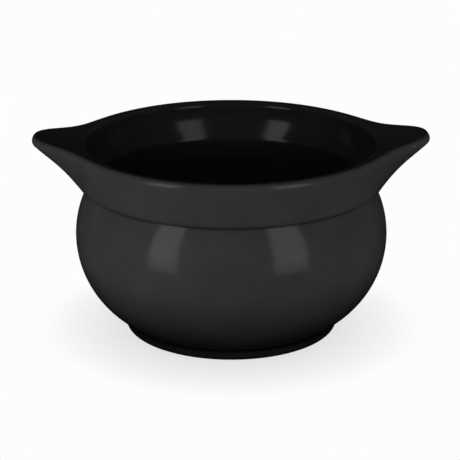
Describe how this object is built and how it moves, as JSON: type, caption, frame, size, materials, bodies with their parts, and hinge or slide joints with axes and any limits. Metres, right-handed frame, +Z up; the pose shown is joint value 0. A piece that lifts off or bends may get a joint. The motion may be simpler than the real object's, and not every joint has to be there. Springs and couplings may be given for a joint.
{
  "type": "soup crock",
  "caption": "Round black glazed stoneware soup crock with a full belly, a flared collar, a rounded lip, a low foot ring and broad lug ears for lifting it out of the oven.",
  "frame": {"origin": "centre of the foot ring's underside, on the surface that the crock stands on", "axes": "+X through the right ear, +Y away from the picture's viewer, +Z up through the middle of the mouth"},
  "size_m": [0.1526, 0.121, 0.0774],
  "materials": {
    "black_glaze": "glossy black glaze on stoneware"
  },
  "bodies": {
    "root": {"bowl_body": "black_glaze", "rim_collar": "black_glaze", "foot_ring": "black_glaze", "left_ear": "black_glaze", "right_ear": "black_glaze"}
  },
  "joints": []
}
